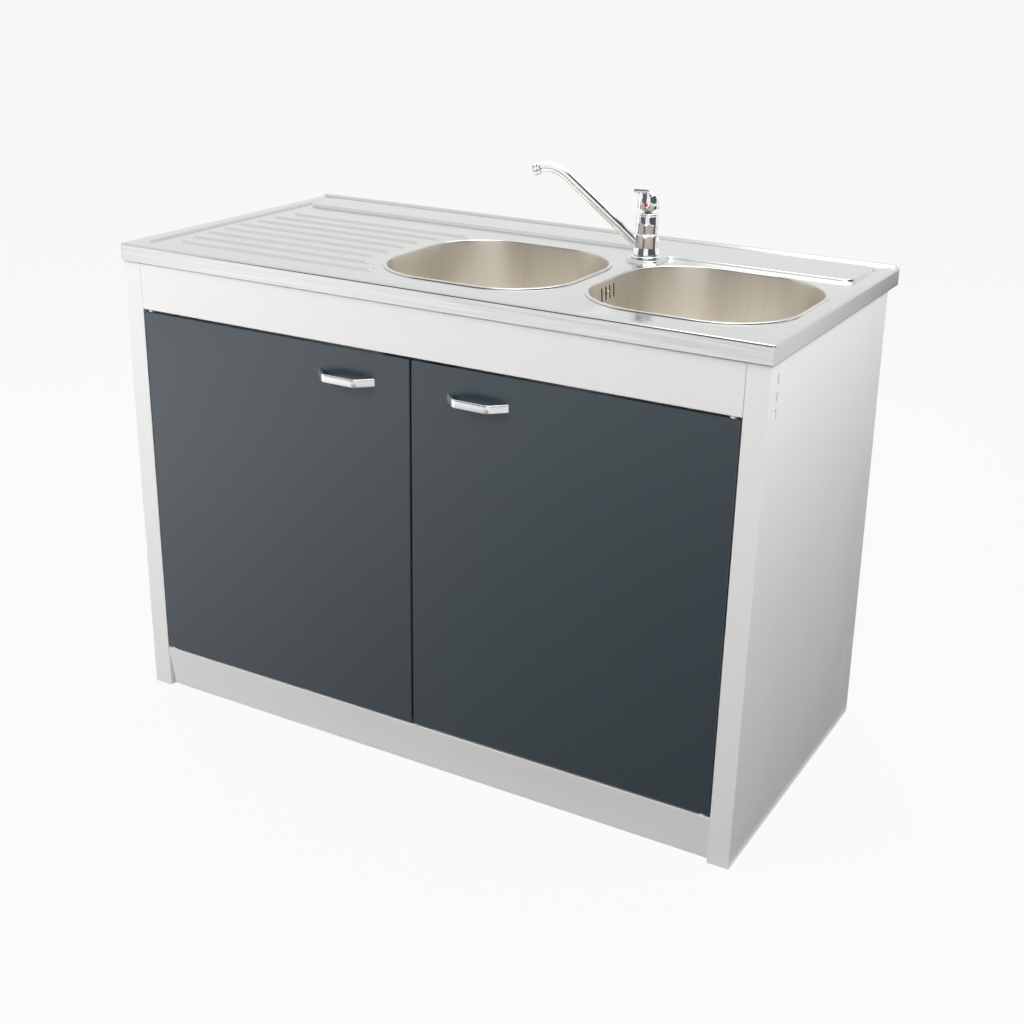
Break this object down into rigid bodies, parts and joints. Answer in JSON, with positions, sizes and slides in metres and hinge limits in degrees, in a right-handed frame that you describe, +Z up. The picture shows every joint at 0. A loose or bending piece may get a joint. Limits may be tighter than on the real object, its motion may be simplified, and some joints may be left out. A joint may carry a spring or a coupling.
{
  "type": "kitchen sink cabinet",
  "caption": "Free-standing steel kitchen sink cabinet with hinged doors, a stainless top with bowls and drainer, a swivelling lever tap, and waste pipes inside.",
  "frame": {"origin": "middle of the footprint's bounding box, on the floor", "axes": "+X to the right seen from the front, -Y towards the person in front of the doors, +Z up"},
  "size_m": [1.2, 0.622, 1.0173],
  "materials": {
    "white_lacquer": "smooth white lacquer, semi-gloss",
    "slate_lacquer": "dark slate grey lacquer, satin",
    "stainless": "stainless steel, bright satin",
    "satin_stainless": "stainless steel, satin, drawn",
    "chrome": "polished chrome plate",
    "satin_chrome": "satin chrome plate",
    "zinc_plated": "zinc plated",
    "white_nylon": "moulded nylon",
    "white_pipe": "moulded white plastic",
    "black_rubber": "matt black rubber",
    "magnet_brown": "moulded brown plastic",
    "index_red": "glossy red plastic"
  },
  "bodies": {
    "cabinet": {"side_left": "white_lacquer", "side_right": "white_lacquer", "front_rail": "white_lacquer", "rear_rail": "white_lacquer", "plinth": "white_lacquer", "floor_panel": "white_lacquer", "shelf": "white_lacquer", "shelf_pin_1": "white_nylon", "shelf_pin_2": "white_nylon", "shelf_pin_3": "white_nylon", "shelf_pin_4": "white_nylon", "pivot_top_left": "white_nylon", "pivot_top_right": "white_nylon", "pivot_bottom_left": "white_nylon", "pivot_bottom_right": "white_nylon", "catch_left": "magnet_brown", "catch_right": "magnet_brown", "sink_top": "stainless", "bowl_left": "satin_stainless", "bowl_right": "satin_stainless", "waste_left": "stainless", "waste_right": "stainless", "waste_seal_left": "black_rubber", "waste_seal_right": "black_rubber", "waste_nut_left": "white_pipe", "waste_nut_right": "white_pipe", "overflow_housing": "white_pipe", "overflow_screw": "zinc_plated", "overflow_pipe": "black_rubber", "tail_elbow": "white_pipe", "trap_tee": "white_pipe", "tail_nut_left": "white_pipe", "tail_nut_right": "white_pipe", "trap_nut": "white_pipe", "trap_body": "white_pipe", "trap_cup": "white_pipe", "outlet_pipe": "white_pipe", "outlet_nut": "white_pipe", "tap_flange": "chrome", "tap_body": "chrome", "tap_washer": "black_rubber", "tap_nut": "zinc_plated"},
    "left_door": {"door_left": "slate_lacquer", "handle_left": "satin_chrome", "handle_screw_1": "zinc_plated", "handle_screw_2": "zinc_plated"},
    "right_door": {"door_right": "slate_lacquer", "handle_right": "satin_chrome", "handle_screw_3": "zinc_plated", "handle_screw_4": "zinc_plated"},
    "spout": {"tap_spout": "chrome", "tap_aerator": "chrome"},
    "ball": {"tap_cartridge": "white_nylon"},
    "lever": {"tap_lever": "chrome", "tap_index": "index_red"},
    "left_strainer": {"strainer_left": "stainless"},
    "right_strainer": {"strainer_right": "stainless"}
  },
  "joints": [
    {"name": "door_left_hinge", "type": "hinge", "parent": "cabinet", "child": "left_door", "pos_m": [-0.545, -0.279, 0.4], "axis": [0, 0, -1], "range_deg": [0, 110]},
    {"name": "door_right_hinge", "type": "hinge", "parent": "cabinet", "child": "right_door", "pos_m": [0.545, -0.279, 0.4], "axis": [0, 0, 1], "range_deg": [0, 110]},
    {"name": "spout_swivel", "type": "hinge", "parent": "cabinet", "child": "spout", "pos_m": [0.212, 0.123, 0.859], "axis": [0, 0, 1], "continuous": true},
    {"name": "lever_turn", "type": "hinge", "parent": "cabinet", "child": "ball", "pos_m": [0.212, 0.123, 0.951], "axis": [0, 0, 1], "range_deg": [-57, 33]},
    {"name": "lever_lift", "type": "hinge", "parent": "ball", "child": "lever", "pos_m": [0.212, 0.123, 0.951], "axis": [-0.9781, -0.2079, 0], "range_deg": [0, 20]},
    {"name": "strainer_left_lift", "type": "slide", "parent": "cabinet", "child": "left_strainer", "axis": [0, 0, 1], "range_m": [0, 0.06]},
    {"name": "strainer_right_lift", "type": "slide", "parent": "cabinet", "child": "right_strainer", "axis": [0, 0, 1], "range_m": [0, 0.06]}
  ]
}
